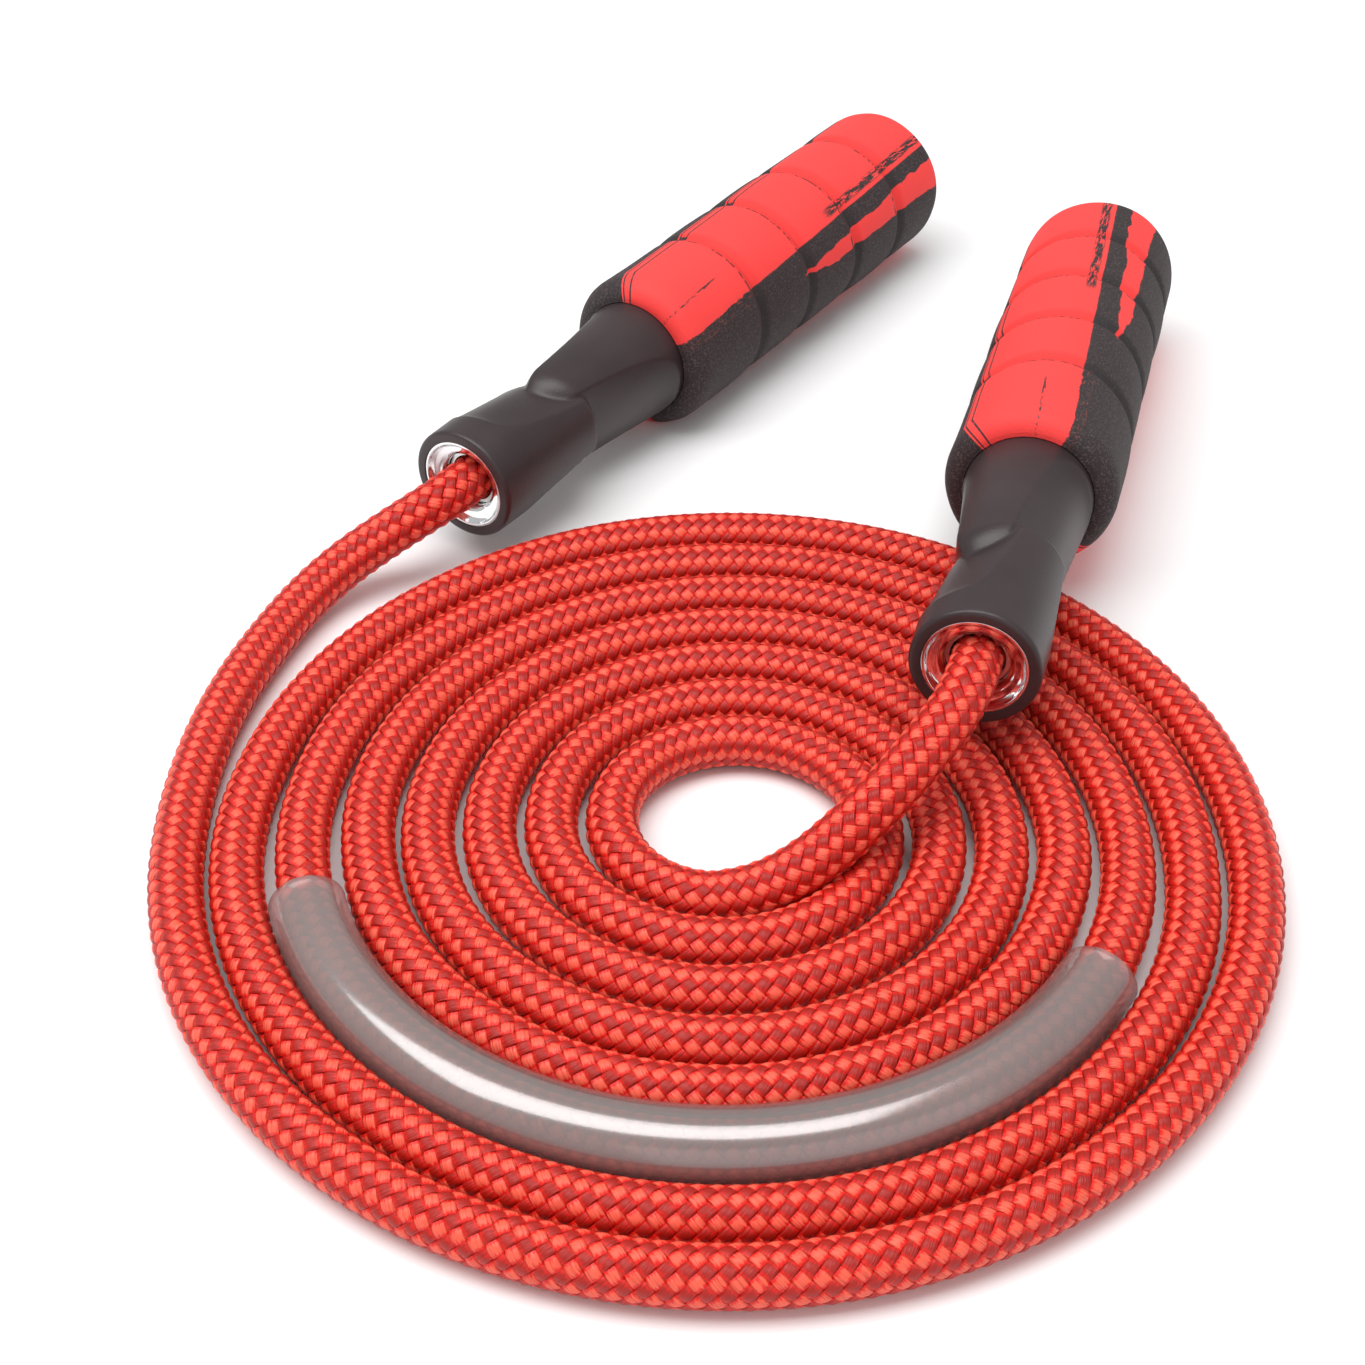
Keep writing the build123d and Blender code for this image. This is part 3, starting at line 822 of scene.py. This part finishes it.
def scooped(x, radius, turn):
    """The nose's radius, cut by flats that leave a tongue from each end over the other's."""
    share = x / NOSE_LENGTH
    front_progress = (share - FRONT_FLAT_START) / FRONT_FLAT_LENGTH
    rear_progress = (REAR_FLAT_START - share) / REAR_FLAT_LENGTH
    front = radius * flats(turn, FRONT_FLAT_TURN, front_progress)
    rear = radius * flats(turn, REAR_FLAT_TURN, rear_progress)
    front_side = np.sin(turn - math.radians(FRONT_TONGUE_TURN)) ** 2
    rear_side = np.sin(turn - math.radians(REAR_TONGUE_TURN)) ** 2
    front_past = share - FRONT_TONGUE_END + FRONT_TONGUE_LEAN * front_side
    rear_past = REAR_TONGUE_END + REAR_TONGUE_LEAN * rear_side - share
    front = front * tongue(front_past / FRONT_TONGUE_DROP + 1)
    rear = rear * tongue(rear_past / REAR_TONGUE_DROP + 1)
    past_bore = smooth_step(x, CLAMP_BORE_END, CLAMP_BORE_END + CLAMP_BORE_EASE)
    floor = LEAST_RADIUS + MORE_OVER_BORE * (1 - past_bore)
    cut = smooth_most(smooth_most(front, rear, SCOOP_LIP), floor, SCOOP_LIP)
    on_skin = radius > 1.001 * TUBE_OUTER_RADIUS
    on_nose = on_skin & (share > SCOOPS_START) & (share < SCOOPS_END)
    return np.where(on_nose, np.minimum(cut, radius), radius)


def make_nose(handle, material):
    """The moulded nose with its scoops, and the tube behind it that carries the grip."""
    profile = outline(
        [
            (0, 9.5, 0.25),
            (0, 11.75, 0.9),
            (60, 12.75, 0.4),
            (60, 11, 0),
            (163, 11, 0.3),
            (163, 9, 0.3),
            (56, 9, 0),
            (56, 6.4, 0),
            (24.4, 6.4, 0),
            (24.4, 8.4, 0),
            (8.4, 8.4, 0),
            (8.4, 9.5, 0),
        ],
        step=0.4,
        beyond=11.5,
    )
    nose = turned_piece(
        handle,
        f"nose_{handle.side}",
        profile,
        material,
        around=192,
        shape=scooped,
    )
    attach(nose, f"handle_{handle.side}")
    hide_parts(f"handle_body_{handle.side}")


def groove_places():
    segment = (HANDLE_LENGTH - NOSE_LENGTH) / (GROOVE_COUNT + FIRST_SEGMENT_SHARE)
    first = NOSE_LENGTH + FIRST_SEGMENT_SHARE * segment
    return [first + index * segment for index in range(GROOVE_COUNT)]


# Depths and half widths of the groove itself and of the gentle dip round it.
GROOVE_DEPTH = 0.00085
GROOVE_HALF_WIDTH = 0.0013
DIP_DEPTH = 0.00012
DIP_HALF_WIDTH = 0.0050
LUMP_HEIGHT = 0.00010
SMALL_LUMP_HEIGHT = 0.00007
SKIN_FROM_RADIUS = 0.0150
SKIN_FULL_RADIUS = 0.0168


def foam_shape(x, radius, turn):
    """Shallow grooves, segments that swell a little between them, and slight lumps."""
    depth = np.zeros_like(x)
    for groove in groove_places():
        depth += GROOVE_DEPTH * np.exp(-(((x - groove) / GROOVE_HALF_WIDTH) ** 2))
        depth += DIP_DEPTH * np.exp(-(((x - groove) / DIP_HALF_WIDTH) ** 2))
    lumps = LUMP_HEIGHT * np.sin(3 * turn + 90 * x)
    lumps = lumps + SMALL_LUMP_HEIGHT * np.sin(5 * turn - 210 * x + 1.3)
    on_skin = smooth_step(radius, SKIN_FROM_RADIUS, SKIN_FULL_RADIUS)
    return radius + on_skin * (lumps - depth)


def make_grip(handle, material):
    profile = outline(
        [
            (60.5, 11.05, 0),
            (60.5, 12.7, 0.5),
            (59.8, 13.4, 0.4),
            (59.9, 17.1, 4.2),
            (166.0, 17.1, 4.6),
            (166.0, 12.3, 0.5),
            (163, 12.3, 0.4),
            (163, 11.05, 0),
        ],
        step=0.5,
        beyond=16.5,
    )
    grip = turned_piece(
        handle, f"grip_{handle.side}", profile, material, around=160, shape=foam_shape
    )
    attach(grip, f"handle_{handle.side}")
    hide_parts(f"foam_grip_{handle.side}")


def make_collar(handle, material):
    """The bright bell-shaped ring in the nose's mouth."""
    profile = outline(
        [
            (0.15, 9.48, 0.12),
            (0.15, 8.95, 0.2),
            (0.75, 8.6, 0.15),
            (1.15, 8.1, 0.3),
            (1.5, 6.7, 0.4),
            (2.2, 5.9, 0.3),
            (3.1, 5.8, 0.1),
            (3.1, 8.3, 0),
            (3.4, 8.3, 0),
            (3.4, 9.48, 0.1),
        ]
    )
    collar = turned_piece(handle, f"collar_{handle.side}", profile, material, around=128)
    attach(collar, f"handle_{handle.side}")
    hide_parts(f"mouth_collar_{handle.side}")


def make_cap(handle, material):
    """The plug in the butt: a dished head with a rounded rim, on a hollow stem."""
    profile = outline(
        [
            (141, 6.95, 0.3),
            (162.5, 6.95, 0),
            (162.5, 0.02, 0),
            (165.2, 0.02, 0),
            (165.2, 8.6, 1.2),
            (166, 9.6, 0.8),
            (166, 12.0, 0.8),
            (163, 12.0, 0),
            (163, 8.95, 0),
            (152, 8.95, 0.2),
            (151.6, 8.7, 0.2),
            (151.2, 8.95, 0.2),
            (141, 8.95, 0.5),
        ]
    )
    cap = turned_piece(handle, f"cap_{handle.side}", profile, material, around=96)
    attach(cap, f"cap_{handle.side}")
    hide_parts(f"end_cap_{handle.side}")


# ---------------------------------------------------------------- sleeve

def make_sleeve(material):
    """The clear tube on the rope, bent about the axis of its slide joint."""
    joint = JOINTS["sleeve_slide"]
    centre = np.array(joint["pos_m"])
    middle = math.radians((SLEEVE_START_ANGLE + SLEEVE_END_ANGLE) / 2)
    on_arc = spiral_radius(math.degrees(middle)) * np.array((math.cos(middle), math.sin(middle)))
    arc_radius = np.linalg.norm(on_arc - centre[:2])
    ends = []
    for angle in (SLEEVE_START_ANGLE, SLEEVE_END_ANGLE):
        turn = math.radians(angle)
        spot = spiral_radius(angle) * np.array((math.cos(turn), math.sin(turn))) - centre[:2]
        ends.append(math.atan2(spot[1], spot[0]))
    start_angle, end_angle = np.unwrap(ends)
    inner = SLEEVE_OUTER_RADIUS - SLEEVE_WALL
    rim_outer = SLEEVE_OUTER_RADIUS - SLEEVE_CHAMFER
    rim_inner = inner + SLEEVE_CHAMFER
    edge = SLEEVE_CHAMFER / arc_radius
    along = np.linspace(start_angle + edge, end_angle - edge, SLEEVE_RINGS)
    rows = [(angle, SLEEVE_OUTER_RADIUS) for angle in along]
    rows += [(end_angle, rim_outer), (end_angle, rim_inner)]
    rows += [(angle, inner) for angle in along[::-1]]
    rows += [(start_angle, rim_inner), (start_angle, rim_outer)]
    rows = np.array(rows)
    turn = np.linspace(0, 2 * np.pi, SLEEVE_SIDES, endpoint=False)
    reach = arc_radius + rows[:, 1][:, None] * np.cos(turn)[None, :]
    height = SLEEVE_OUTER_RADIUS + rows[:, 1][:, None] * np.sin(turn)[None, :]
    points = np.stack(
        [
            centre[0] + reach * np.cos(rows[:, 0])[:, None],
            centre[1] + reach * np.sin(rows[:, 0])[:, None],
            height,
        ],
        axis=-1,
    )
    quads = tube_quads(len(rows), SLEEVE_SIDES, closed_along=True)
    mesh = mesh_from("sleeve", points.reshape(-1, 3), quads)
    mesh.set_sharp_from_angle(angle=math.radians(SLEEVE_SHARP_EDGE))
    sleeve = add_object("sleeve", mesh, material)
    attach(sleeve, "sleeve")
    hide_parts("clear_sleeve")
    return sleeve


# ---------------------------------------------------------------- the whole object

def dress_node(node, material):
    """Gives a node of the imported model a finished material."""
    for slot in frame["nodes"][node].material_slots:
        slot.material = material


def main():
    make_camera()
    make_studio()
    # The bright yarn is the rope's red with a painted highlight on its crests. The deep yarn is a
    # painted-shade copy of the same red.
    yarns = (
        yarn_surface("yarn_core", (0.35, 0.02, 0.02), (0.2, 0.01, 0.01)),
        yarn_surface("yarn_painted_highlight", (0.90, 0.116, 0.066), (0.79, 0.010, 0.005)),
        yarn_surface("yarn_painted_shade", (0.39, 0.011, 0.005), (0.64, 0.010, 0.005)),
    )
    rope, core, on_rope = make_rope(*yarns)
    on_rope.append(make_sleeve(sleeve_surface()))
    nose_plastic = plastic_surface(
        "nose_plastic", (0.021, 0.012, 0.013), (0.041, 0.026, 0.028), 0.42, grain=0.00008
    )
    cap_plastic = plastic_surface("cap_plastic", (0.020, 0.015, 0.016), (0.036, 0.029, 0.031), 0.42)
    collar_metal = metal_surface("collar_chrome", (0.86, 0.87, 0.88), 0.09, scratches=0.000002)
    foam = foam_surface()
    steel = metal_surface("bearing_steel", (0.62, 0.62, 0.61), 0.22)
    hidden = {
        "bearing_outer": steel,
        "bearing_inner": steel,
        "thrust_washer": steel,
        "bearing_balls": metal_surface("ball_steel", (0.78, 0.79, 0.80), 0.08),
        "bearing_cage": metal_surface("cage_brass", (0.68, 0.50, 0.22), 0.32),
        "bearing_shield_front": metal_surface("shield_steel", (0.55, 0.56, 0.57), 0.35),
        "bearing_shield_rear": metal_surface("shield_steel_rear", (0.55, 0.56, 0.57), 0.35),
        "rope_stop_upper": metal_surface("stop_alloy", (0.50, 0.51, 0.53), 0.38),
        "rope_stop_lower": metal_surface("stop_alloy_lower", (0.50, 0.51, 0.53), 0.38),
        "stop_screws": metal_surface("screw_steel", (0.16, 0.16, 0.17), 0.30),
        "tail_crimp": metal_surface("crimp_brass", (0.66, 0.48, 0.20), 0.36),
    }
    for side in ("left", "right"):
        handle = Handle(side)
        make_nose(handle, nose_plastic)
        make_grip(handle, foam)
        make_collar(handle, collar_metal)
        make_cap(handle, cap_plastic)
        on_rope += make_tail(handle, *yarns)
        for node, material in hidden.items():
            dress_node(f"{node}_{side}", material)


main()
